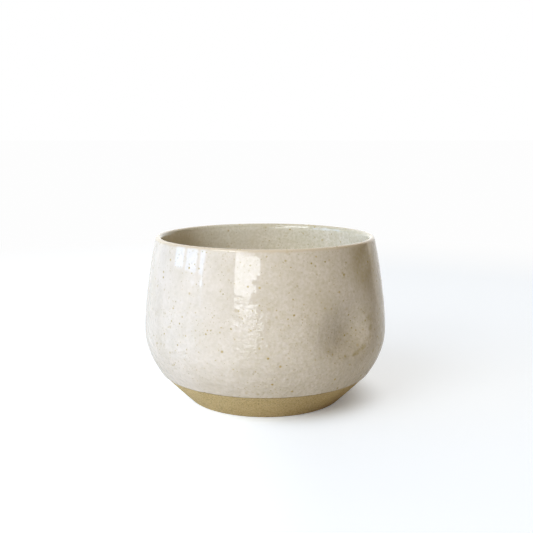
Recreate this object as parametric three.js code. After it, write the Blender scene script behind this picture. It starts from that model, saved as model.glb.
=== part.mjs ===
// A small handleless cup of glazed stoneware, thrown on a wheel, with a thumb rest pressed into its
// wall. Millimetres, +Z up. The origin is the middle of the plane it stands on, and its front is -Y.

import * as THREE from 'three';

const { degToRad, mapLinear } = THREE.MathUtils;

// Outside of the clay, from the foot up
const cupHeight = 57;
const footRadius = 26.8;
const footEdge = 0.4;
const flareDrop = 1.2;
const glazeLineRadius = 36.5;
const glazeLineHeight = 9.9;
const bellyRadius = 41.75;
const bellyHeight = 24.4;
const lipRadius = 37.05;
const hipShare = 0.56;
const shoulderShare = 0.354;

// Thickness of the clay, which thins from the hip to the lip, and the floor inside
const hipWall = 4;
const bellyWall = 3.6;
const lipWall = 1.9;
const floorHeight = 5.8;
const floorRadius = 18;

// Lip, which rounds off outside and rolls over gently for some way down inside
const lipRound = 0.65;
const lipRoll = 3.5;

// Foot ring, turned into the underside
const footRingWidth = 5;
const footRecess = 2;
const footRecessDraft = degToRad(35);

// Glaze, a coat on each side, which thins to its lower edge outside, and a thin film over the lip
const coatThickness = 0.5;
const rimThickness = 0.3;
const coatEdgeSteps = 2;
const coatEdgeHeight = 0.5;
const coatEdgeShare = 0.65;

// Thumb rest: where it is pressed in, how far its right side tilts up, how far it reaches to its left
// and right, up and down, how deep and how roundly, and how much deeper it is low down
const dimpleAzimuth = degToRad(41.5);
const dimpleHeight = 30.6;
const dimpleTilt = degToRad(8);
const dimpleLeft = 21;
const dimpleRight = 15;
const dimpleHalfHeight = 14;
const dimpleDepth = 3.4;
const dimpleRoundness = 3.8;
const dimpleLowShare = 0.4;

// Facets: turns around the axis, and steps along each stretch of the outline
const turns = 60;
const footSteps = 3;
const lowerSteps = 6;
const upperSteps = 10;
const lipSteps = 4;
const rollSteps = 5;
const floorSteps = 3;
const edgeSteps = 2;

const point = (radius, height) => new THREE.Vector2(radius, height);
const bend = (start, corner, end, steps) =>
  new THREE.QuadraticBezierCurve(start, corner, end).getPoints(steps);

// Each stretch starts where the one before it ends, and this drops the point they share.
function join(...stretches) {
  return stretches.flatMap((stretch, index) => (index ? stretch.slice(1) : stretch));
}

// Points lifted off a stretch, square to it, by a thickness that may differ from point to point.
// Going up the outside of a wall, they lift away from the axis.
function lift(stretch, thicknessAt) {
  return stretch.map((spot, index) => {
    const along = new THREE.Vector2().subVectors(
      stretch[Math.min(index + 1, stretch.length - 1)],
      stretch[Math.max(index - 1, 0)],
    );
    return spot.clone().addScaledVector(point(along.y, -along.x).normalize(), thicknessAt(index));
  });
}

// The lip's outside is a quarter of a circle or so, from the slope of the wall below it to its top.
const lipCentre = point(lipRadius, cupHeight - rimThickness - lipRound);
const shoulder = point(bellyRadius, THREE.MathUtils.lerp(bellyHeight, lipCentre.y, shoulderShare));
const lipLean = Math.atan2(shoulder.x - lipRound - lipCentre.x, lipCentre.y - shoulder.y);
const lipOutside = Array.from({ length: lipSteps + 1 }, (_, step) => {
  const angle = mapLinear(step, 0, lipSteps, lipLean, Math.PI / 2);
  return point(Math.cos(angle), Math.sin(angle)).multiplyScalar(lipRound).add(lipCentre);
});

// The wall outside, from the glaze line over the belly to the lip
const glazeLine = point(glazeLineRadius, glazeLineHeight);
const belly = point(bellyRadius, bellyHeight);
const hip = point(bellyRadius, THREE.MathUtils.lerp(glazeLineHeight, bellyHeight, hipShare));
const lowerWall = bend(glazeLine, hip, belly, lowerSteps);
const upperWall = bend(belly, shoulder, lipOutside[0], upperSteps);
const outerWall = join(lowerWall, upperWall);

// The wall inside lies the clay's thickness in from it, then curves in to the flat of the floor.
const hollow = join(
  lift(lowerWall, (index) => -mapLinear(index, 0, lowerSteps, hipWall, bellyWall)),
  lift(upperWall, (index) => -mapLinear(index, 0, upperSteps, bellyWall, lipWall)),
).reverse();

// The lip's inside rolls over from its top to the wall, where it takes the place of the wall's end.
const lipTop = lipOutside.at(-1);
const rollHeight = lipTop.y - lipRoll;
const below = hollow.findIndex((spot) => spot.y < rollHeight);
const wallUp = new THREE.Vector2().subVectors(hollow[below - 1], hollow[below]);
const rollFoot = hollow[below]
  .clone()
  .addScaledVector(wallUp, (rollHeight - hollow[below].y) / wallUp.y);
const rollCorner = rollFoot.clone().addScaledVector(wallUp, lipRoll / wallUp.y);
const lipArc = join(lipOutside, bend(lipTop, rollCorner, rollFoot, rollSteps));
hollow.splice(0, below, rollFoot);

const hollowFoot = hollow.at(-1);
const hollowSlope = new THREE.Vector2().subVectors(hollowFoot, hollow.at(-2));
const floorCorner = hollowFoot
  .clone()
  .addScaledVector(hollowSlope, (floorHeight - hollowFoot.y) / hollowSlope.y);
const floorEdge = point(floorRadius, floorHeight);
const innerWall = join(
  hollow,
  bend(hollowFoot, floorCorner, floorEdge, floorSteps),
  [floorEdge, point(0, floorHeight)],
);

// The underside, from the axis across the recess and the foot ring, and up the bare clay, which
// meets the glaze line at the wall's own slope
const wallLean = (hip.x - glazeLine.x) / (hip.y - glazeLine.y);
const flare = point(glazeLineRadius - flareDrop * wallLean, glazeLineHeight - flareDrop);
const footCorner = point(footRadius, 0);
const footSlope = new THREE.Vector2().subVectors(flare, footCorner).normalize();
const footFlat = point(footRadius - footEdge, 0);
const footRise = footCorner.clone().addScaledVector(footSlope, footEdge);
const ringInner = footRadius - footRingWidth;
const recessRadius = ringInner - footRecess * Math.tan(footRecessDraft);
const underside = join(
  [point(0, footRecess), point(recessRadius, footRecess), point(ringInner, 0), footFlat],
  bend(footFlat, footCorner, footRise, edgeSteps),
  bend(footRise, flare, glazeLine, footSteps),
);

// Each coat thins to the film on the lip, which ends square to the clay on both sides.
const rimFace = lift(lipArc, () => rimThickness);
rimFace[lipSteps] = point(lipTop.x, cupHeight);
const outerFace = lift(outerWall, (index) =>
  mapLinear(Math.min(index, coatEdgeSteps), 0, coatEdgeSteps, rimThickness, coatThickness),
);
outerFace[outerFace.length - 1] = rimFace[0];
const innerFace = lift(innerWall, () => coatThickness);
innerFace[0] = rimFace.at(-1);
innerFace.at(-1).x = 0;

// The outer coat ends above the foot in a rounded edge.
const [edgeStart, edgeNext] = outerWall;
const edgeRise = coatEdgeHeight / edgeStart.distanceTo(edgeNext);
const edgeLow = edgeStart.clone().lerp(outerFace[0], coatEdgeShare);
const edgeHigh = outerFace[0].clone().lerp(outerFace[1], edgeRise);

// The depth that the thumb rest takes off a radius
function pressAt(azimuth, height) {
  const across = (azimuth - dimpleAzimuth) * bellyRadius;
  const rise = height - dimpleHeight;
  const along = across * Math.cos(dimpleTilt) + rise * Math.sin(dimpleTilt);
  const aside = rise * Math.cos(dimpleTilt) - across * Math.sin(dimpleTilt);
  const sideways = along / (along < 0 ? dimpleLeft : dimpleRight);
  const up = aside / dimpleHalfHeight;
  const inside = Math.max(0, 1 - sideways * sideways - up * up);
  return dimpleDepth * inside ** dimpleRoundness * (1 - dimpleLowShare * up);
}

// Turns an outline about the axis and presses the thumb rest into it. A coat's quads are split along
// their other diagonal, so that its face fits the clay's facets all over the thumb rest.
function turn(outline, isCoat) {
  const shape = new THREE.LatheGeometry(outline, turns).rotateX(Math.PI / 2);
  const places = shape.attributes.position;
  const spot = new THREE.Vector3();
  for (let index = 0; index < places.count; index += 1) {
    spot.fromBufferAttribute(places, index);
    const radius = Math.hypot(spot.x, spot.y);
    const pressed = radius ? 1 - pressAt(Math.atan2(spot.x, -spot.y), spot.z) / radius : 1;
    places.setXYZ(index, spot.x * pressed, spot.y * pressed, spot.z);
  }
  if (isCoat) {
    const corners = shape.index;
    for (let quad = 0; quad < corners.count; quad += 6) {
      const [a, b, d, c] = [0, 1, 2, 3].map((corner) => corners.getX(quad + corner));
      [a, b, c, a, c, d].forEach((corner, slot) => corners.setX(quad + slot, corner));
    }
  }
  shape.computeVertexNormals();
  return shape;
}

function piece(name, outline, colour, roughness, isCoat = true) {
  const material = new THREE.MeshStandardMaterial({ color: colour, roughness, metalness: 0 });
  const mesh = new THREE.Mesh(turn(outline, isCoat), material);
  mesh.name = name;
  return mesh;
}

const clayOutline = join(underside, outerWall, lipArc, innerWall);
const outerCoatOutline = [
  edgeStart,
  edgeLow,
  edgeHigh,
  ...outerFace.slice(1),
  ...outerWall.toReversed(),
];
const rimOutline = [lipArc[0], ...rimFace, ...lipArc.toReversed()];
const innerCoatOutline = [...innerWall.toReversed(), ...innerFace];

const cup = new THREE.Group();
cup.add(
  piece('stoneware_body', clayOutline, '#a08c64', 0.9, false),
  piece('outer_glaze', outerCoatOutline, '#e2ddd0', 0.15),
  piece('inner_glaze', innerCoatOutline, '#e2ddd0', 0.15),
  piece('rim_glaze', rimOutline, '#c9b796', 0.25),
);

export default cup;
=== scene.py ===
# A small handleless cup of glazed stoneware on a white sweep, in the daylight of a window in front of
# it, a window of three panes to its left, a window higher up and a skylight.
# Sizes of the cup are in millimetres until its outlines are turned, and everything else is in metres.

import math

import bmesh
import bpy
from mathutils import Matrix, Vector, noise


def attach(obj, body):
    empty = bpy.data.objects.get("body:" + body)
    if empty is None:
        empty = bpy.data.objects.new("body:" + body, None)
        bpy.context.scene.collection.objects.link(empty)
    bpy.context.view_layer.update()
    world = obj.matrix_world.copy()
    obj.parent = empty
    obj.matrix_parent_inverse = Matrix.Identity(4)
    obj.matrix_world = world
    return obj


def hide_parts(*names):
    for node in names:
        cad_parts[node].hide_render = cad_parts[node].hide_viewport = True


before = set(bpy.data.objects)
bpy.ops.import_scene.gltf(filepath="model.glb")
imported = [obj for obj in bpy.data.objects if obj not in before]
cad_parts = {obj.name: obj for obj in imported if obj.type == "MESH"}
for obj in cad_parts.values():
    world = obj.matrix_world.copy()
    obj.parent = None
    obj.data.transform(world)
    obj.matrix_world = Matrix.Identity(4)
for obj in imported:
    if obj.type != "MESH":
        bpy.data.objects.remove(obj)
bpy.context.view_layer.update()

MM = 0.001

# Outside of the clay, from the foot up
CUP_HEIGHT = 57
FOOT_RADIUS = 26.8
FOOT_EDGE = 0.4
FLARE_DROP = 1.2
GLAZE_LINE_RADIUS = 36.5
GLAZE_LINE_HEIGHT = 9.9
BELLY_RADIUS = 41.75
BELLY_HEIGHT = 24.4
LIP_RADIUS = 37.05
HIP_SHARE = 0.56
SHOULDER_SHARE = 0.354

# Thickness of the clay, how the lip rounds off outside and rolls over inside, and the floor inside
HIP_WALL = 4
BELLY_WALL = 3.6
LIP_WALL = 1.9
LIP_ROUND = 0.65
LIP_ROLL = 3.5
FLOOR_HEIGHT = 5.8
FLOOR_RADIUS = 18

# Foot ring, turned into the underside
FOOT_RING_WIDTH = 5
FOOT_RECESS = 2
FOOT_RECESS_DRAFT = math.radians(35)
RING_EDGE = 0.5

# Glaze: a coat on each side, the shares of the wall over which it thins to its lower edge and to the
# film on the lip, and the wandering of its lower edge in waves of two sizes, which fades out above it
COAT_THICKNESS = 0.5
RIM_THICKNESS = 0.3
COAT_EDGE_SHARE = 0.11
COAT_TOP_SHARE = 0.1
WANDER = 0.12
WANDER_REACH = 4
WANDER_SIZE = 5
FINE_WANDER_SIZE = 1.7
FINE_WANDER_SHARE = 0.6

# Thumb rest: where it is pressed in, how far its right side tilts up, how far it reaches to its left
# and right, up and down, how deep and how roundly, and how much deeper it is low down
THUMB_AZIMUTH = math.radians(41.5)
THUMB_HEIGHT = 30.6
THUMB_TILT = math.radians(8)
THUMB_LEFT = 21
THUMB_RIGHT = 15
THUMB_HALF_HEIGHT = 14
THUMB_DEPTH = 3.4
THUMB_ROUNDNESS = 3.8
THUMB_LOW_SHARE = 0.4

# What the potter's hands leave outside: swaying rings that climb the wall, and a wall that is never
# quite round, all of which fade out at the lip and at the glaze line
RING_PITCH = 5.6
RING_DEPTH = 0.03
RING_SWAY = 2
SWELL_SIZE = 17
SWELL_DEPTH = 0.1
DAPPLE_SIZE = 3.6
DAPPLE_DEPTH = 0.03
MARKS_FADE = 6

# What they leave inside: rings that end below the lip and around the middle of the floor
INNER_RING_PITCH = 4.4
INNER_RING_DEPTH = 0.1
INNER_RING_FADE = 10
INNER_RING_DROP = 3
INNER_RING_RADIUS = 8

# Facets: turns around the axis, steps along each stretch of the outline, how close two corners are
# when they are merged, and the angle past which an edge is sharp
TURNS = 200
WALL_STEP = 0.9
UNDERSIDE_STEP = 2
LIP_STEPS = 16
EDGE_STEPS = 5
RING_EDGE_STEPS = 4
MERGE_DISTANCE = 1e-4
CREASE = math.radians(38)


def point(radius, height):
    """A place on an outline."""
    return Vector((radius, height))


def bend(start, corner, end, step=WALL_STEP):
    """Points about a step apart along a curve from start to end that is pulled towards corner."""
    steps = max(2, round((end - start).length / step))
    shares = [index / steps for index in range(steps + 1)]
    return [start.lerp(corner, share).lerp(corner.lerp(end, share), share) for share in shares]


def join(*stretches):
    """One outline of stretches that each start where the one before ends."""
    return [spot for index, part in enumerate(stretches) for spot in part[1 if index else 0:]]


def lift(stretch, thickness_at):
    """The stretch moved square to itself, away from the axis where it climbs."""
    lifted = []
    last = len(stretch) - 1
    for index, spot in enumerate(stretch):
        along = stretch[min(index + 1, last)] - stretch[max(index - 1, 0)]
        outwards = point(along.y, -along.x).normalized()
        lifted.append(spot + outwards * thickness_at(index / last))
    return lifted


def blend(start, end, share):
    """The value that share of the way from start to end."""
    return start + (end - start) * share


def arc(centre, radius, start, end, steps):
    """Points on a circle from one angle to another."""
    angles = [blend(start, end, index / steps) for index in range(steps + 1)]
    return [centre + point(math.cos(angle), math.sin(angle)) * radius for angle in angles]


# Outlines of the clay
lip_centre = point(LIP_RADIUS, CUP_HEIGHT - RIM_THICKNESS - LIP_ROUND)
shoulder = point(BELLY_RADIUS, blend(BELLY_HEIGHT, lip_centre.y, SHOULDER_SHARE))
lip_lean = math.atan2(shoulder.x - LIP_ROUND - lip_centre.x, lip_centre.y - shoulder.y)
lip_outside = arc(lip_centre, LIP_ROUND, lip_lean, math.pi / 2, LIP_STEPS)

glaze_line = point(GLAZE_LINE_RADIUS, GLAZE_LINE_HEIGHT)
belly = point(BELLY_RADIUS, BELLY_HEIGHT)
hip = point(BELLY_RADIUS, blend(GLAZE_LINE_HEIGHT, BELLY_HEIGHT, HIP_SHARE))
lower_wall = bend(glaze_line, hip, belly)
upper_wall = bend(belly, shoulder, lip_outside[0])
outer_wall = join(lower_wall, upper_wall)

hollow = join(
    lift(lower_wall, lambda share: -blend(HIP_WALL, BELLY_WALL, share)),
    lift(upper_wall, lambda share: -blend(BELLY_WALL, LIP_WALL, share)),
)[::-1]

# The lip rolls over to the inside more gently than to the outside.
lip_top = lip_outside[-1]
roll_height = lip_top.y - LIP_ROLL
above, below = next(pair for pair in zip(hollow, hollow[1:]) if pair[1].y < roll_height)
roll_foot = above.lerp(below, (above.y - roll_height) / (above.y - below.y))
roll_corner = roll_foot + (above - below) * (LIP_ROLL / (above.y - below.y))
lip_arc = join(lip_outside, bend(lip_top, roll_corner, roll_foot, LIP_ROLL / LIP_STEPS))
hollow = [roll_foot] + hollow[hollow.index(below):]

hollow_slope = hollow[-1] - hollow[-2]
floor_corner = hollow[-1] + hollow_slope * ((FLOOR_HEIGHT - hollow[-1].y) / hollow_slope.y)
floor_edge = point(FLOOR_RADIUS, FLOOR_HEIGHT)
inner_wall = join(
    hollow,
    bend(hollow[-1], floor_corner, floor_edge),
    bend(floor_edge, floor_edge / 2 + point(0, FLOOR_HEIGHT / 2), point(0, FLOOR_HEIGHT)),
)

wall_lean = (hip.x - glaze_line.x) / (hip.y - glaze_line.y)
flare = glaze_line - point(wall_lean, 1) * FLARE_DROP
foot_corner = point(FOOT_RADIUS, 0)
foot_slope = (flare - foot_corner).normalized()
foot_flat = point(FOOT_RADIUS - FOOT_EDGE, 0)
foot_rise = foot_corner + foot_slope * FOOT_EDGE
ring_inner = point(FOOT_RADIUS - FOOT_RING_WIDTH, 0)
recess = ring_inner + point(-math.tan(FOOT_RECESS_DRAFT), 1) * FOOT_RECESS
recess_slope = (recess - ring_inner).normalized()
recess_flat = recess - point(RING_EDGE, 0)
recess_fall = recess - recess_slope * RING_EDGE
ring_rise = ring_inner + recess_slope * RING_EDGE
ring_flat = ring_inner + point(RING_EDGE, 0)
underside = join(
    bend(point(0, FOOT_RECESS), point(recess.x / 2, FOOT_RECESS), recess_flat, UNDERSIDE_STEP),
    bend(recess_flat, recess, recess_fall, RING_EDGE / RING_EDGE_STEPS),
    bend(recess_fall, (recess + ring_inner) / 2, ring_rise),
    bend(ring_rise, ring_inner, ring_flat, RING_EDGE / RING_EDGE_STEPS),
    [ring_flat, foot_flat],
    bend(foot_flat, foot_corner, foot_rise, FOOT_EDGE / EDGE_STEPS),
    bend(foot_rise, flare, glaze_line),
)


def ringed(stretch):
    """The inside of the wall with the rings that throwing leaves there."""
    shaped = []
    for spot, moved in zip(stretch, lift(stretch, lambda share: 1)):
        drop = (CUP_HEIGHT - spot.y - INNER_RING_DROP) / INNER_RING_FADE
        aside = (spot.x - INNER_RING_RADIUS) / INNER_RING_FADE
        fade = min(1, max(0, drop), max(0, aside))
        wave = math.sin(math.tau * (spot.y - spot.x) / INNER_RING_PITCH)
        shaped.append(spot.lerp(moved, INNER_RING_DEPTH * fade * wave))
    return shaped


inner_wall = ringed(inner_wall)
rim_face = lift(lip_arc, lambda share: RIM_THICKNESS)
rim_face[LIP_STEPS] = point(lip_top.x, CUP_HEIGHT)


def coat(stretch, edge_share=0):
    """The face of a coat, which thins at the top of its stretch, and to an edge at its foot."""

    def thickness(share):
        near_top = 1 - (1 - share) / COAT_TOP_SHARE
        near_edge = 1 - share / edge_share if edge_share else 0
        return blend(COAT_THICKNESS, RIM_THICKNESS, max(0, near_top, near_edge))

    return lift(stretch, thickness)


outer_face = coat(outer_wall, COAT_EDGE_SHARE)
outer_face[-1] = rim_face[0]
inner_face = coat(inner_wall[::-1])[::-1]
inner_face = [2 * clay - face for clay, face in zip(inner_wall, inner_face)]
inner_face[0] = rim_face[-1]
inner_face[-1].x = 0
edge_turn = (outer_face[0] - glaze_line).normalized()
edge_side = point(-edge_turn.y, edge_turn.x)
glaze_edge = [
    glaze_line + (edge_turn * math.sin(angle) + edge_side * (1 - math.cos(angle))) * RIM_THICKNESS
    for angle in [math.pi / 2 * index / EDGE_STEPS for index in range(EDGE_STEPS + 1)]
]


def thumb_place(azimuth, height):
    """How far across and up from the middle of the thumb rest that is, where 1 is its edge."""
    across = (azimuth - THUMB_AZIMUTH) * BELLY_RADIUS
    up = height - THUMB_HEIGHT
    along = across * math.cos(THUMB_TILT) + up * math.sin(THUMB_TILT)
    aside = up * math.cos(THUMB_TILT) - across * math.sin(THUMB_TILT)
    return along / (THUMB_LEFT if along < 0 else THUMB_RIGHT), aside / THUMB_HALF_HEIGHT


def thumb_press(azimuth, height):
    """How deep the thumb rest is there."""
    across, up = thumb_place(azimuth, height)
    inside = max(0, 1 - across ** 2 - up ** 2)
    return THUMB_DEPTH * inside ** THUMB_ROUNDNESS * (1 - THUMB_LOW_SHARE * up)


def hand_marks(azimuth, height):
    """How far the hands left the wall inside its turned outline there. It is never outside it."""
    fade = min(1, max(0, min(CUP_HEIGHT - height, height - GLAZE_LINE_HEIGHT)) / MARKS_FADE)
    around = Vector((math.sin(azimuth), math.cos(azimuth), 0)) * BELLY_RADIUS
    spot = around + Vector((0, 0, height))
    sway = noise.noise(spot / SWELL_SIZE)
    ring = 1 + math.sin(math.tau * height / RING_PITCH + azimuth + RING_SWAY * sway)
    swell = 1 + sway
    dapple = 1 + noise.noise(spot / DAPPLE_SIZE)
    return fade * (RING_DEPTH * ring + SWELL_DEPTH * swell + DAPPLE_DEPTH * dapple) / 2


def turned(name, outline, wander=0):
    """A piece turned about Z, with the thumb rest, the hand marks and a lower edge that wanders."""
    shape = bmesh.new()
    spots = [shape.verts.new((0, -spot.x, spot.y)) for spot in outline]
    edges = [shape.edges.new(pair) for pair in zip(spots, spots[1:])]
    bmesh.ops.spin(
        shape, geom=spots + edges, cent=(0, 0, 0), axis=(0, 0, 1), angle=math.tau, steps=TURNS,
        use_merge=True,
    )
    bmesh.ops.remove_doubles(shape, verts=shape.verts, dist=MERGE_DISTANCE)
    bmesh.ops.recalc_face_normals(shape, faces=shape.faces)
    for vert in shape.verts:
        radius = math.hypot(vert.co.x, vert.co.y)
        azimuth = math.atan2(vert.co.x, -vert.co.y)
        height = vert.co.z
        if wander and height < GLAZE_LINE_HEIGHT + WANDER_REACH:
            around = Vector((math.sin(azimuth), math.cos(azimuth), 0)) * GLAZE_LINE_RADIUS
            shift = noise.noise(around / WANDER_SIZE)
            shift += FINE_WANDER_SHARE * noise.noise(around / FINE_WANDER_SIZE)
            near = 1 - max(0, height - GLAZE_LINE_HEIGHT) / WANDER_REACH
            vert.co.z += wander * shift * near
            radius += wander * shift * near
        inwards = thumb_press(azimuth, height) + hand_marks(azimuth, height)
        if radius > FLOOR_RADIUS:
            vert.co.x = (radius - inwards) * math.sin(azimuth)
            vert.co.y = -(radius - inwards) * math.cos(azimuth)
    bmesh.ops.scale(shape, vec=(MM, MM, MM), verts=shape.verts)
    mesh = bpy.data.meshes.new(name)
    shape.to_mesh(mesh)
    shape.free()
    mesh.shade_smooth()
    mesh.set_sharp_from_angle(angle=CREASE)
    piece = bpy.data.objects.new(name, mesh)
    bpy.context.collection.objects.link(piece)
    return piece


# Node trees


def add(tree, kind, inputs=None, **settings):
    """A new node. An input given as a socket is linked, and any other is the socket's own value."""
    made = tree.nodes.new(kind)
    for name, value in settings.items():
        setattr(made, name, value)
    for name, value in (inputs or {}).items():
        if isinstance(value, bpy.types.NodeSocket):
            tree.links.new(value, made.inputs[name])
        else:
            made.inputs[name].default_value = value
    return made


def maths(tree, operation, *values, clamp=False):
    """What a Math node makes of the values."""
    sockets = dict(enumerate(values))
    return add(tree, "ShaderNodeMath", sockets, operation=operation, use_clamp=clamp).outputs[0]


def spread(tree, value, low, high, start=0.0, end=1.0):
    """The value from low to high, eased from start to end."""
    sockets = {"Value": value, "From Min": low, "From Max": high, "To Min": start, "To Max": end}
    return add(tree, "ShaderNodeMapRange", sockets, interpolation_type="SMOOTHSTEP").outputs["Result"]


def mixed(tree, share, first, second):
    """The first colour with that share of the second in it."""
    made = add(tree, "ShaderNodeMix", data_type="RGBA")
    for socket, value in (("Factor", share), ("A", first), ("B", second)):
        target = next(each for each in made.inputs if each.name == socket and each.enabled)
        if isinstance(value, bpy.types.NodeSocket):
            tree.links.new(value, target)
        else:
            target.default_value = value
    return next(each for each in made.outputs if each.enabled)


def clouds(tree, place, size, detail=2.0, stretch=1.0):
    """Soft noise with features of about that size in metres, stretched up and down."""
    scaled = add(tree, "ShaderNodeMapping", {"Vector": place, "Scale": (1, 1, 1 / stretch)}).outputs[0]
    sockets = {"Vector": scaled, "Scale": 1 / size, "Detail": detail}
    return add(tree, "ShaderNodeTexNoise", sockets).outputs["Fac"]


def srgb(red, green, blue):
    """A colour as it is seen, 0 to 255, as the linear one that shaders take."""
    shares = [value / 255 for value in (red, green, blue)]
    return tuple(s / 12.92 if s <= 0.04045 else ((s + 0.055) / 1.055) ** 2.4 for s in shares) + (1,)


def group(name, inputs, outputs):
    """A shader node group with those sockets, and its input and output nodes."""
    tree = bpy.data.node_groups.new(name, "ShaderNodeTree")
    for socket, kind in inputs.items():
        tree.interface.new_socket(socket, in_out="INPUT", socket_type="NodeSocket" + kind)
    for socket, kind in outputs.items():
        tree.interface.new_socket(socket, in_out="OUTPUT", socket_type="NodeSocket" + kind)
    return tree, tree.nodes.new("NodeGroupInput").outputs, tree.nodes.new("NodeGroupOutput")


def place_group(tree, used, inputs):
    """The outputs of a node of that group with those inputs."""
    return add(tree, "ShaderNodeGroup", inputs, node_tree=used).outputs


# Iron specks: how ragged they are, the size of their clusters and how they thin out between those,
# how much smaller and fainter the least ones are, and the share of a speck that is at full strength
SPECK_RAG = 0.6 * MM
SPECK_CLUSTER = 11 * MM
SPECK_CLUSTER_RANGE = (0.35, 0.62)
SPECK_CLUSTER_SHARES = (0.35, 1.0)
SPECK_SIZE_SHARES = (0.35, 1.0)
SPECK_FAINT_SHARE = 0.25
SPECK_CORE_SHARE = 0.3


def specks_group():
    """Iron specks: ragged spots of many sizes and strengths, which gather in loose clusters."""
    tree, given, result = group(
        "Iron specks",
        {"Place": "Vector", "Spacing": "Float", "Radius": "Float", "Share": "Float"},
        {"Mask": "Float", "Rust": "Float"},
    )

    def vectors(operation, inputs):
        return add(tree, "ShaderNodeVectorMath", inputs, operation=operation).outputs[0]

    place = given["Place"]
    ragged = add(tree, "ShaderNodeTexNoise", {"Vector": place, "Scale": 1 / SPECK_RAG}).outputs["Color"]
    offset = vectors("SUBTRACT", {0: ragged, 1: (0.5, 0.5, 0.5)})
    wobble = vectors("SCALE", {0: offset, "Scale": SPECK_RAG / 2})
    moved = vectors("ADD", {0: place, 1: wobble})
    scale = maths(tree, "DIVIDE", 1.0, given["Spacing"])
    cells = add(tree, "ShaderNodeTexVoronoi", {"Vector": moved, "Scale": scale}, feature="F1").outputs
    chance = add(tree, "ShaderNodeSeparateColor", {"Color": cells["Color"]}).outputs
    cluster = clouds(tree, place, SPECK_CLUSTER)
    gathered = spread(tree, cluster, *SPECK_CLUSTER_RANGE, *SPECK_CLUSTER_SHARES)
    shown = maths(tree, "LESS_THAN", chance["Red"], maths(tree, "MULTIPLY", given["Share"], gathered))
    size_share = spread(tree, chance["Green"], 0.0, 1.0, *SPECK_SIZE_SHARES)
    reach = maths(tree, "MULTIPLY", maths(tree, "MULTIPLY", size_share, given["Radius"]), scale)
    core = maths(tree, "MULTIPLY", reach, SPECK_CORE_SHARE)
    spot = spread(tree, cells["Distance"], reach, core)
    strength = maths(tree, "MULTIPLY_ADD", chance["Blue"], 1 - SPECK_FAINT_SHARE, SPECK_FAINT_SHARE)
    mask = maths(tree, "MULTIPLY", maths(tree, "MULTIPLY", spot, shown), strength)
    tree.links.new(mask, result.inputs["Mask"])
    tree.links.new(chance["Green"], result.inputs["Rust"])
    return tree


# Layers of specks in the glaze, as spacing and radius in millimetres, share of the places that have
# one, and strength. Only the first layer's specks stand up from the glaze and dull it.
SPECK_LAYERS = (
    (2.2, 0.62, 1.0, 0.95),
    (3.1, 0.85, 0.8, 0.4),
    (1.4, 0.42, 1.0, 0.75),
    (0.9, 0.32, 1.0, 0.5),
)

# Colour of the glaze: fine mottling, milky clouds with runs of glaze down the wall, ochre bloom that
# also carries painted warm shade, brown stains and painted shade that the mottling breaks up, and tan
# where it wears thin
MOTTLE_SIZE = 1.2 * MM
MOTTLE_STRENGTH = 1.6
MILK_SIZE = 9 * MM
MILK_RANGE = (0.2, 0.8)
RUN_SIZE = 3.2 * MM
RUN_STRETCH = 9.0
BLOOM_SIZE = 0.9 * MM
BLOOM_RANGE = (0.2, 0.8)
STAIN_AND_SHADE_RANGE = (0.3, 0.65)
STAIN_AND_SHADE_SHARES = (0.6, 1.0)
WEAR_STRENGTH = 0.5
WEAR_RANGE = (0.1, 0.85)

# Surface of the glaze: wide ripples with small dimples on them, specks that stand up a little, and
# a gloss that varies from place to place and is duller on the specks
RIPPLE_SIZE = 2.8 * MM
RIPPLE_STRETCH = 0.6
DIMPLE_SIZE = 1.2 * MM
DIMPLE_SHARE = 0.4
SPECK_RISE_SHARE = 0.15
GLOSS_SIZE = 5 * MM
GLOSS_RANGE = (0.3, 0.7)
ROUGHNESS_RANGE = (0.03, 0.08)
SPECK_ROUGHNESS = 0.2


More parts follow.
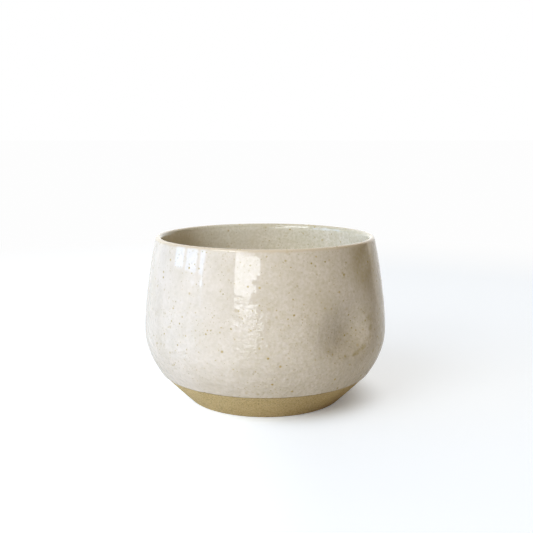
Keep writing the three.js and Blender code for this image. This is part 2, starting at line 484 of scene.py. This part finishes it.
def glaze_group(specks):
    """The glaze's colour, gloss and surface. Where it is thin, the clay shows through it as tan."""
    floats = dict.fromkeys(("Thin", "Stain and shade", "Ripple", "Bloom and shade", "Streaks"), "Float")
    colours = dict.fromkeys(("Cream", "Milk", "Ochre", "Tan", "Brown", "Iron", "Rust"), "Color")
    tree, given, result = group(
        "Speckled glaze",
        {"Place": "Vector"} | floats | colours,
        {"Color": "Color", "Roughness": "Float", "Height": "Float"},
    )
    place = given["Place"]

    def around_zero(value, strength):
        return maths(tree, "MULTIPLY", maths(tree, "SUBTRACT", value, 0.5), strength)

    mottle = clouds(tree, place, MOTTLE_SIZE, 3.0)
    runs = around_zero(clouds(tree, place, RUN_SIZE, 2.0, RUN_STRETCH), given["Streaks"])
    milky = maths(tree, "ADD", spread(tree, clouds(tree, place, MILK_SIZE, 3.0), *MILK_RANGE), runs)
    milky = maths(tree, "ADD", milky, around_zero(mottle, MOTTLE_STRENGTH), clamp=True)
    body = mixed(tree, milky, given["Cream"], given["Milk"])
    bloom = spread(tree, clouds(tree, place, BLOOM_SIZE), *BLOOM_RANGE)
    # Ochre bloom, whose strength also carries painted warm shade towards the cup's right
    body = mixed(tree, maths(tree, "MULTIPLY", bloom, given["Bloom and shade"]), body, given["Ochre"])
    # Brown stains, and painted shade in the same brown, broken up by the mottling
    broken = spread(tree, mottle, *STAIN_AND_SHADE_RANGE, *STAIN_AND_SHADE_SHARES)
    body = mixed(tree, maths(tree, "MULTIPLY", given["Stain and shade"], broken), body, given["Brown"])
    worn = maths(tree, "ADD", given["Thin"], around_zero(mottle, WEAR_STRENGTH))
    body = mixed(tree, spread(tree, worn, *WEAR_RANGE), body, given["Tan"])
    spots = []
    for spacing, radius, share, strength in SPECK_LAYERS:
        sockets = {"Place": place, "Spacing": spacing * MM, "Radius": radius * MM, "Share": share}
        layer = place_group(tree, specks, sockets)
        spots.append(maths(tree, "MULTIPLY", layer["Mask"], strength))
        iron = mixed(tree, layer["Rust"], given["Iron"], given["Rust"])
        body = mixed(tree, spots[-1], body, iron)
    ripples = clouds(tree, place, RIPPLE_SIZE, 2.0, RIPPLE_STRETCH)
    dimples = maths(tree, "MULTIPLY", clouds(tree, place, DIMPLE_SIZE, 1.0), DIMPLE_SHARE)
    height = maths(tree, "MULTIPLY", maths(tree, "ADD", ripples, dimples), given["Ripple"])
    height = maths(tree, "ADD", height, maths(tree, "MULTIPLY", spots[0], SPECK_RISE_SHARE))
    gloss = spread(tree, clouds(tree, place, GLOSS_SIZE), *GLOSS_RANGE, *ROUGHNESS_RANGE)
    gloss = maths(tree, "ADD", gloss, maths(tree, "MULTIPLY", spots[0], SPECK_ROUGHNESS))
    tree.links.new(body, result.inputs["Color"])
    tree.links.new(gloss, result.inputs["Roughness"])
    tree.links.new(height, result.inputs["Height"])
    return tree


def material(name):
    """A new material, its tree, its Principled shader and the place on the object for its patterns."""
    made = bpy.data.materials.new(name)
    made.use_nodes = True
    tree = made.node_tree
    place = add(tree, "ShaderNodeTexCoord").outputs["Object"]
    return made, tree, tree.nodes["Principled BSDF"], place


# Tan lip: how far down from its top the glaze thins, how steeply the tan ends inside, and its waves
RIM_BREAK_DROP = 1.6
RIM_BREAK = ((CUP_HEIGHT - RIM_BREAK_DROP) * MM, CUP_HEIGHT * MM)
INSIDE_FALL = 2.0
RIM_WAVE_SIZE = 3.5 * MM
RIM_WAVE_DEPTH = 0.6 * MM

# Painted shade in brown along the lip's inner edge, where it rolls into the cup: how far in from the
# lip and how high it grows, and how strong it is
LIP_INSIDE = (0.1 * MM, 0.6 * MM)
LIP_RISE = (55.2 * MM, 56.2 * MM)
LIP_SHADE = 0.3

# Ochre bloom, which grows towards the cup's right as painted warm shade on the side away from the
# windows, and has a least strength of its own inside
BLOOM_SHADE_REACH = (-35 * MM, 15 * MM)
BLOOM_SHADE_SHARES = (0.05, 0.5)
HOLLOW_BLOOM = 0.3

# Patches on the wall, as azimuth, height and reach in millimetres, and strength: painted shade and a
# painted reflection in brown, and painted light that shows only inside
SHADE_AND_REFLECTION_PATCHES = (
    # First a painted reflection of a dark thing high on the right, then painted shade on and below the
    # thumb rest, last painted shade on the left wall inside
    (math.radians(55), 51, 12, 0.6),
    (math.radians(37), 29, 5, 0.2),
    (math.radians(24), 37, 10, 0.12),
    (math.radians(35), 25, 8, 0.2),
    (math.radians(47), 24, 9, 0.22),
    (math.radians(-110), 40, 25, 0.5),
)
PAINTED_LIGHT_PATCHES = ((math.radians(-150), 60, 21, 0.8),)
PATCH_CORE_SHARE = 1 / 3

# Heights between which the ripples in the glaze grow from faint to full, and how high they stand
RIPPLE_HEIGHTS = (45 * MM, 33 * MM)
RIPPLE_STRENGTHS = (0.1, 2.8)
GLAZE_BUMP = 0.1 * MM

# Colours of the glaze, then of its clouds inside the cup, and of the painted light on the far wall
# there
CREAM = srgb(217, 204, 187)
MILK = srgb(229, 216, 202)
OCHRE = srgb(196, 181, 142)
TAN = srgb(214, 195, 168)
BROWN = srgb(172, 152, 102)
IRON = srgb(134, 122, 44)
RUST = srgb(186, 156, 76)
HOLLOW_CREAM = srgb(220, 210, 190)
HOLLOW_MILK = srgb(232, 222, 206)
HOLLOW_OCHRE = srgb(184, 172, 128)
PAINTED_LIGHT_CREAM = srgb(250, 244, 228)
PAINTED_LIGHT_MILK = srgb(253, 249, 238)

# How strong the runs in the glaze are, and how much it bends light
STREAKS = 0.8
GLAZE_IOR = 1.52


def patches(tree, place, spots):
    """How strong the strongest of several soft patches on the wall is there."""
    strongest = 0.0
    for azimuth, height, reach, strength in spots:
        around = Vector((math.sin(azimuth), -math.cos(azimuth), 0)) * BELLY_RADIUS
        inputs = {0: place, 1: (around + Vector((0, 0, height))) * MM}
        away = add(tree, "ShaderNodeVectorMath", inputs, operation="DISTANCE").outputs["Value"]
        patch = spread(tree, away, reach * MM, reach * MM * PATCH_CORE_SHARE, 0.0, strength)
        strongest = maths(tree, "MAXIMUM", patch, strongest)
    return strongest


def glaze_material(name, glaze):
    """The glaze on this cup: where it thins, stains, ripples and changes colour, with painted shade,
    reflection and light.
    """
    made, tree, shader, place = material(name)
    axes = add(tree, "ShaderNodeSeparateXYZ", {"Vector": place}).outputs
    ridge = add(tree, "ShaderNodeAttribute", attribute_name="thin").outputs["Fac"]
    hollow_share = add(tree, "ShaderNodeAttribute", attribute_name="hollow").outputs["Fac"]

    squares = [maths(tree, "POWER", axes[axis], 2.0) for axis in ("X", "Y")]
    radius = maths(tree, "SQRT", maths(tree, "ADD", *squares))
    inside = maths(tree, "MAXIMUM", maths(tree, "SUBTRACT", LIP_RADIUS * MM, radius), 0.0)
    level = maths(tree, "SUBTRACT", axes["Z"], maths(tree, "MULTIPLY", inside, INSIDE_FALL))
    wave = maths(tree, "SUBTRACT", clouds(tree, place, RIM_WAVE_SIZE), 0.5)
    level = maths(tree, "ADD", level, maths(tree, "MULTIPLY", wave, RIM_WAVE_DEPTH))

    # Painted shade along the lip's inner edge
    lip_rise = spread(tree, axes["Z"], *LIP_RISE)
    lip_shade = maths(tree, "MULTIPLY", spread(tree, inside, *LIP_INSIDE), lip_rise)
    lip_shade = maths(tree, "MULTIPLY", lip_shade, LIP_SHADE)
    # Brown where the glaze breaks over the thumb rest's ridge, painted shade along the lip's inner
    # edge, and the painted shade and reflection patches
    stain_and_shade = maths(tree, "MAXIMUM", lip_shade, ridge)
    stain_and_shade = maths(tree, "MAXIMUM", stain_and_shade, patches(tree, place, SHADE_AND_REFLECTION_PATCHES))

    # Painted warm shade: the bloom grows towards the cup's right, away from the windows
    bloom = spread(tree, axes["X"], *BLOOM_SHADE_REACH, *BLOOM_SHADE_SHARES)
    bloom = maths(tree, "MAXIMUM", bloom, maths(tree, "MULTIPLY", hollow_share, HOLLOW_BLOOM))
    # Painted light on the upper far wall inside the cup
    pale = patches(tree, place, PAINTED_LIGHT_PATCHES)
    coat_look = place_group(tree, glaze, {
        "Place": place,
        "Thin": spread(tree, level, *RIM_BREAK),
        "Stain and shade": stain_and_shade,
        "Ripple": spread(tree, axes["Z"], *RIPPLE_HEIGHTS, *RIPPLE_STRENGTHS),
        "Bloom and shade": bloom,
        "Streaks": STREAKS,
        # Inside, the glaze turns paler where light is painted on it
        "Cream": mixed(tree, hollow_share, CREAM, mixed(tree, pale, HOLLOW_CREAM, PAINTED_LIGHT_CREAM)),
        "Milk": mixed(tree, hollow_share, MILK, mixed(tree, pale, HOLLOW_MILK, PAINTED_LIGHT_MILK)),
        "Ochre": mixed(tree, hollow_share, OCHRE, HOLLOW_OCHRE),
        "Tan": TAN,
        "Brown": BROWN,
        "Iron": IRON,
        "Rust": RUST,
    })
    surface = {"Strength": 1.0, "Distance": GLAZE_BUMP, "Height": coat_look["Height"]}
    bump = add(tree, "ShaderNodeBump", surface)
    tree.links.new(coat_look["Color"], shader.inputs["Base Color"])
    tree.links.new(coat_look["Roughness"], shader.inputs["Roughness"])
    tree.links.new(bump.outputs["Normal"], shader.inputs["Normal"])
    shader.inputs["IOR"].default_value = GLAZE_IOR
    return made


# Bare clay: sand, soft patches, grains that are dark or pale, and the fine lines that turning leaves
SAND_SIZE = 0.5 * MM
SAND_RANGE = (0.38, 0.62)
DULL_RANGE = (0.2, 0.8)
ROUGHNESSES = (0.8, 0.95)
PATCH_SIZE = 7 * MM
PATCH_RANGE = (0.3, 0.7)
GRAIN_SIZE = 0.55 * MM
GRAIN_RANGE = (0.42, 0.2)
DARK_SHARE = 0.3
DARK_STRENGTH = 0.7
PALE_SHARE = 0.2
PALE_STRENGTH = 0.5
LINE_SIZE = 3 * MM
LINE_STRETCH = 0.06
LINE_RISE_SHARE = 0.6
GRAIN_RISE_SHARE = 0.4
CLAY_BUMP = 0.06 * MM

# Heights between which painted shadow darkens the clay under the glaze line, and how far to the right
# painted shade browns it
GLAZE_EDGE_SHADOW = (9.3 * MM, 9.8 * MM)
GLAZE_EDGE_SHADOW_STRENGTH = 0.6
RIGHT_SHADE_REACH = (-15 * MM, 28 * MM)
RIGHT_SHADE_STRENGTH = 0.25

# Colours of the clay
CLAY = srgb(188, 163, 108)
PALE_CLAY = srgb(199, 174, 120)
SAND = srgb(212, 189, 140)
DARK_GRAIN = srgb(122, 94, 52)
PALE_GRAIN = srgb(226, 208, 172)
SHADED_CLAY = srgb(140, 104, 48)
SHADOW_UNDER_GLAZE = srgb(120, 92, 52)


def clay_material():
    """Bare fired clay, which is sandy and matt, with painted shade towards the cup's right and a
    painted shadow under the glaze line.
    """
    made, tree, shader, place = material("Bare stoneware")
    sand = clouds(tree, place, SAND_SIZE, 3.0)
    patch = spread(tree, clouds(tree, place, PATCH_SIZE), *PATCH_RANGE)
    body = mixed(tree, patch, CLAY, PALE_CLAY)
    body = mixed(tree, spread(tree, sand, *SAND_RANGE), body, SAND)
    grain = add(tree, "ShaderNodeTexVoronoi", {"Vector": place, "Scale": 1 / GRAIN_SIZE}).outputs
    chance = add(tree, "ShaderNodeSeparateColor", {"Color": grain["Color"]}).outputs["Red"]
    speck = spread(tree, grain["Distance"], *GRAIN_RANGE)
    dark = maths(tree, "MULTIPLY", speck, maths(tree, "LESS_THAN", chance, DARK_SHARE))
    pale = maths(tree, "MULTIPLY", speck, maths(tree, "GREATER_THAN", chance, 1 - PALE_SHARE))
    body = mixed(tree, maths(tree, "MULTIPLY", dark, DARK_STRENGTH), body, DARK_GRAIN)
    body = mixed(tree, maths(tree, "MULTIPLY", pale, PALE_STRENGTH), body, PALE_GRAIN)
    axes = add(tree, "ShaderNodeSeparateXYZ", {"Vector": place}).outputs
    # Painted shade: the clay browns towards the cup's right, away from the windows
    body = mixed(tree, spread(tree, axes["X"], *RIGHT_SHADE_REACH, 0.0, RIGHT_SHADE_STRENGTH), body, SHADED_CLAY)
    # Painted shadow under the edge of the glaze
    body = mixed(tree, spread(tree, axes["Z"], *GLAZE_EDGE_SHADOW, 0.0, GLAZE_EDGE_SHADOW_STRENGTH), body, SHADOW_UNDER_GLAZE)
    lines = clouds(tree, place, LINE_SIZE, 2.0, LINE_STRETCH)
    height = maths(tree, "ADD", sand, maths(tree, "MULTIPLY", lines, LINE_RISE_SHARE))
    height = maths(tree, "ADD", height, maths(tree, "MULTIPLY", speck, GRAIN_RISE_SHARE))
    bump = add(tree, "ShaderNodeBump", {"Strength": 1.0, "Distance": CLAY_BUMP, "Height": height})
    tree.links.new(body, shader.inputs["Base Color"])
    tree.links.new(bump.outputs["Normal"], shader.inputs["Normal"])
    tree.links.new(spread(tree, sand, *DULL_RANGE, *ROUGHNESSES), shader.inputs["Roughness"])
    return made


# Ring around the lower thumb rest where the glaze breaks brown: its middle, reach and width, on which
# side of it the brown gathers, and how it breaks into dashes
RIDGE_AZIMUTH = math.radians(40.5)
RIDGE_HEIGHT = 30.2
RIDGE_HALF_WIDTH = 11
RIDGE_HALF_HEIGHT = 8.3
RIDGE_WIDTH_SHARE = 0.09
RIDGE_TURN = 0.8
RIDGE_SLANT = 1.4
RIDGE_BREAKS = 2.2 * MM
RIDGE_CONTRAST = 1.5
RIDGE_COVER = 0.62
LEAST_REACH = 0.01

# How soon the lip counts as the cup's inside as it turns inwards
HOLLOW_TURN = 2


def clamped(value):
    """The value, kept from 0 to 1."""
    return max(0, min(1, value))


def mark(piece, is_lining):
    """Marks where the glaze breaks brown around the thumb rest, and what is inside the cup."""
    piece.data.attributes.new("thin", "FLOAT", "POINT")
    piece.data.attributes.new("hollow", "FLOAT", "POINT")
    thin_marks, hollow_marks = (piece.data.attributes[name].data for name in ("thin", "hollow"))
    for vert, thin, inner in zip(piece.data.vertices, thin_marks, hollow_marks):
        outwards = vert.normal.x * vert.co.x + vert.normal.y * vert.co.y
        inner.value = 1 if is_lining else clamped(-HOLLOW_TURN * outwards / (LIP_RADIUS * MM))
        across = (math.atan2(vert.co.x, -vert.co.y) - RIDGE_AZIMUTH) * BELLY_RADIUS / RIDGE_HALF_WIDTH
        up = (vert.co.z / MM - RIDGE_HEIGHT) / RIDGE_HALF_HEIGHT
        reach = max(LEAST_REACH, math.hypot(across, up))
        ridge = math.exp(-((reach - 1) / RIDGE_WIDTH_SHARE) ** 2)
        side = clamped(0.5 + RIDGE_TURN * (across - RIDGE_SLANT * up) / reach)
        broken = clamped(RIDGE_COVER + RIDGE_CONTRAST * noise.noise(vert.co / RIDGE_BREAKS))
        thin.value = ridge * side * broken


# The cup's materials, then its pieces, which stand for the solids of the same size
specks = specks_group()
glaze = glaze_group(specks)
clay_look = clay_material()
glaze_look = glaze_material("Speckled glaze", glaze)
rim_look = glaze_material("Thin glaze over the lip", glaze)

clay = turned("clay", join(underside, outer_wall, lip_arc, inner_wall))
clay.data.materials.append(clay_look)
outer_coat = turned(
    "outer_coat",
    [glaze_line] + glaze_edge[1:] + outer_face[1:] + outer_wall[::-1],
    wander=WANDER,
)
inner_coat = turned("inner_coat", inner_wall[::-1] + inner_face)
lip_coat = turned("lip_coat", [lip_arc[0]] + rim_face + lip_arc[::-1])
for coat_piece, look in ((outer_coat, glaze_look), (inner_coat, glaze_look), (lip_coat, rim_look)):
    mark(coat_piece, coat_piece is inner_coat)
    coat_piece.data.materials.append(look)

for piece, stands_for, finish in (
    (clay, "stoneware_body", "bare_stoneware"),
    (outer_coat, "outer_glaze", "speckled_glaze"),
    (inner_coat, "inner_glaze", "speckled_glaze"),
    (lip_coat, "rim_glaze", "thin_glaze"),
):
    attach(piece, "root")
    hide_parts(stands_for)

# Camera, where the photograph was taken from, with its lens in millimetres
CAMERA_DISTANCE = 0.27824
CAMERA_HEIGHT = 0.09074
CAMERA_SIDE = 0.00046
CAMERA_PITCH = math.radians(9.184)
CAMERA_LENS = 54.15

camera = bpy.data.objects.new("camera", bpy.data.cameras.new("camera"))
camera.data.lens = CAMERA_LENS
camera.location = (CAMERA_SIDE, -CAMERA_DISTANCE, CAMERA_HEIGHT)
camera.rotation_euler = (math.pi / 2 - CAMERA_PITCH, 0, 0)
bpy.context.collection.objects.link(camera)
bpy.context.scene.camera = camera

# Lamps as seen from the cup: name, azimuth from -Y towards +X, elevation, width and height, all in
# degrees, then radiance and colour
DAYLIGHT = (0.86, 0.92, 1.0)
BLUE_SKY = (0.36, 0.6, 1.0)
LAMPS = (
    ("front window, top", -17, 14.2, 23.5, 4.8, 4.9, DAYLIGHT),
    ("front window, middle", -18.5, 10.4, 20.5, 2.8, 4.9, DAYLIGHT),
    ("front window, foot", -20.5, 7.75, 16, 2.5, 4.9, DAYLIGHT),
    ("glow under the front window", -12, 1.1, 15, 4.4, 5.4, DAYLIGHT),
    ("left window, far pane", -94, 16, 12, 20, 3.8, BLUE_SKY),
    ("left window, middle pane", -77.5, 16.5, 13.5, 21, 3.8, BLUE_SKY),
    ("left window, near pane", -64, 17, 5.5, 21, 3.8, BLUE_SKY),
    ("gap under the left window", -62.5, 4.5, 1.2, 5, 3.0, (0.6, 0.8, 1.0)),
    ("skylight", -42, 46, 36, 24, 3.0, (0.87, 0.93, 1.0)),
    ("window above", -40, 25, 27, 15, 8.2, (0.88, 0.94, 1.0)),
)

# How far the lamps are from the cup, and the watts that a square metre of lamp takes for each unit of
# radiance
LAMP_DISTANCE = 1.4
WATTS_PER_RADIANCE = 4


def softbox(name, azimuth, elevation, width, height, radiance, colour):
    """A soft lamp that faces the cup."""
    lamp = bpy.data.lights.new(name, "AREA")
    lamp.shape = "RECTANGLE"
    lamp.size = 2 * LAMP_DISTANCE * math.tan(math.radians(width) / 2)
    lamp.size_y = 2 * LAMP_DISTANCE * math.tan(math.radians(height) / 2)
    lamp.energy = WATTS_PER_RADIANCE * lamp.size * lamp.size_y * radiance
    lamp.color = colour
    turn, rise = math.radians(azimuth), math.radians(elevation)
    flat = Vector((math.sin(turn), -math.cos(turn), 0))
    towards = flat * math.cos(rise) + Vector((0, 0, math.sin(rise)))
    box = bpy.data.objects.new(name, lamp)
    box.location = towards * LAMP_DISTANCE + Vector((0, 0, CUP_HEIGHT * MM / 2))
    box.rotation_euler = (math.pi / 2 - rise, 0, turn)
    box.visible_camera = False
    bpy.context.collection.objects.link(box)


for lamp_settings in LAMPS:
    softbox(*lamp_settings)

# The room around the cup, by azimuth in degrees from -Y towards +X: a white sweep behind it, a bluish
# wall to the left, a dim warm one in front, and shade to the right
SWEEP_EDGE = 128
ROOM = (
    (-180, (1.45, 1.47, 1.45)),
    (-150, (1.3, 1.33, 1.33)),
    (-SWEEP_EDGE - 1, (1.2, 1.23, 1.25)),
    (-SWEEP_EDGE, (0.3, 0.39, 0.53)),
    (-50, (0.22, 0.29, 0.41)),
    (-10, (0.3, 0.26, 0.2)),
    (30, (0.13, 0.08, 0.02)),
    (SWEEP_EDGE, (0.08, 0.05, 0.01)),
    (SWEEP_EDGE + 1, (1.06, 0.98, 0.84)),
    (150, (1.2, 1.2, 1.2)),
    (180, (1.45, 1.47, 1.45)),
)

# The ceiling and a pale table at the right, with the elevations in degrees between which the walls
# turn into each, and the azimuth at which the table starts
CEILING = (0.38, 0.37, 0.34, 1)
CEILING_RISE = (35, 65)
TABLE = (0.45, 0.42, 0.37, 1)
TABLE_FALL = (4, 2)
TABLE_START = 70

# The white that the camera sees around the cup
WHITE = (1, 1, 1, 1)


def share_of_turn(angle):
    """An azimuth in degrees as a share of the turn from -180 to 180."""
    return (angle + 180) / 360


def room():
    """The light that comes from all around. The camera sees plain white there."""
    world = bpy.data.worlds.new("room")
    world.use_nodes = True
    tree = world.node_tree
    tree.nodes.clear()
    direction = add(tree, "ShaderNodeTexCoord").outputs["Generated"]
    axes = add(tree, "ShaderNodeSeparateXYZ", {"Vector": direction}).outputs
    azimuth = maths(tree, "ARCTAN2", axes["X"], maths(tree, "MULTIPLY", axes["Y"], -1.0))
    turn = maths(tree, "MULTIPLY_ADD", azimuth, 1 / math.tau, 0.5)
    ramp = add(tree, "ShaderNodeValToRGB", {"Fac": turn})
    stops = ramp.color_ramp.elements
    while len(stops) > 1:
        stops.remove(stops[-1])
    for index, (angle, colour) in enumerate(ROOM):
        stop = stops.new(share_of_turn(angle)) if index else stops[0]
        stop.position = share_of_turn(angle)
        stop.color = colour + (1,)
    high = spread(tree, axes["Z"], *[math.sin(math.radians(angle)) for angle in CEILING_RISE])
    walls = mixed(tree, high, ramp.outputs["Color"], CEILING)
    low = spread(tree, axes["Z"], *[math.sin(math.radians(angle)) for angle in TABLE_FALL])
    past = maths(tree, "GREATER_THAN", turn, share_of_turn(TABLE_START))
    before = maths(tree, "LESS_THAN", turn, share_of_turn(SWEEP_EDGE))
    beside = maths(tree, "MULTIPLY", maths(tree, "MULTIPLY", past, low), before)
    walls = mixed(tree, beside, walls, TABLE)
    seen = add(tree, "ShaderNodeLightPath").outputs["Is Camera Ray"]
    colour = mixed(tree, seen, walls, WHITE)
    light = add(tree, "ShaderNodeBackground", {"Color": colour, "Strength": 1.0}).outputs[0]
    out = add(tree, "ShaderNodeOutputWorld")
    tree.links.new(light, out.inputs["Surface"])
    bpy.context.scene.world = world


# The floor as it lights the cup, then as the camera sees it: matt, with a glow that weakens from the
# left of the cup to the right, and turning into the sweep's white by distance, first beside the cup
# in part, then all the way
FLOOR_SIZE = 20
FLOOR_COLOUR = (0.75, 0.72, 0.66, 1)
FLOOR_ROUGHNESS = 0.18
MATT_COLOUR = (0.93, 0.97, 1, 1)
GLOW_REACH = (-0.025, 0.02)
GLOW_STRENGTHS = (0.4, 0.15)
SWEEP_STRENGTH = 0.985
NEAR_REACH = (0.028, 0.045)
NEAR_SHARES = (0.0, 0.58)
FAR_REACH = (0.06, 0.45)


def floor():
    """A white floor, which keeps the cup's shadow for the camera."""
    shape = bmesh.new()
    bmesh.ops.create_grid(shape, x_segments=1, y_segments=1, size=FLOOR_SIZE)
    mesh = bpy.data.meshes.new("floor")
    shape.to_mesh(mesh)
    shape.free()
    piece = bpy.data.objects.new("floor", mesh)
    bpy.context.collection.objects.link(piece)
    made, tree, shader, place = material("White floor")
    shader.inputs["Base Color"].default_value = FLOOR_COLOUR
    shader.inputs["Roughness"].default_value = FLOOR_ROUGHNESS
    matt = add(tree, "ShaderNodeBsdfDiffuse", {"Color": MATT_COLOUR}).outputs[0]
    side = add(tree, "ShaderNodeSeparateXYZ", {"Vector": place}).outputs["X"]
    fill = spread(tree, side, *GLOW_REACH, *GLOW_STRENGTHS)
    glow = add(tree, "ShaderNodeEmission", {"Color": WHITE, "Strength": fill}).outputs[0]
    lit = add(tree, "ShaderNodeAddShader", {0: matt, 1: glow}).outputs[0]
    sweep = add(tree, "ShaderNodeEmission", {"Color": WHITE, "Strength": SWEEP_STRENGTH}).outputs[0]
    away = add(tree, "ShaderNodeVectorMath", {0: place}, operation="LENGTH").outputs["Value"]
    near = spread(tree, away, *NEAR_REACH, *NEAR_SHARES)
    share = maths(tree, "MAXIMUM", near, spread(tree, away, *FAR_REACH))
    look = add(tree, "ShaderNodeMixShader", {0: share, 1: lit, 2: sweep}).outputs[0]
    seen = add(tree, "ShaderNodeLightPath").outputs["Is Camera Ray"]
    surface = add(tree, "ShaderNodeMixShader", {0: seen, 1: shader.outputs[0], 2: look}).outputs[0]
    tree.links.new(surface, tree.nodes["Material Output"].inputs["Surface"])
    mesh.materials.append(made)


room()
floor()
bpy.context.scene.view_settings.view_transform = "Standard"
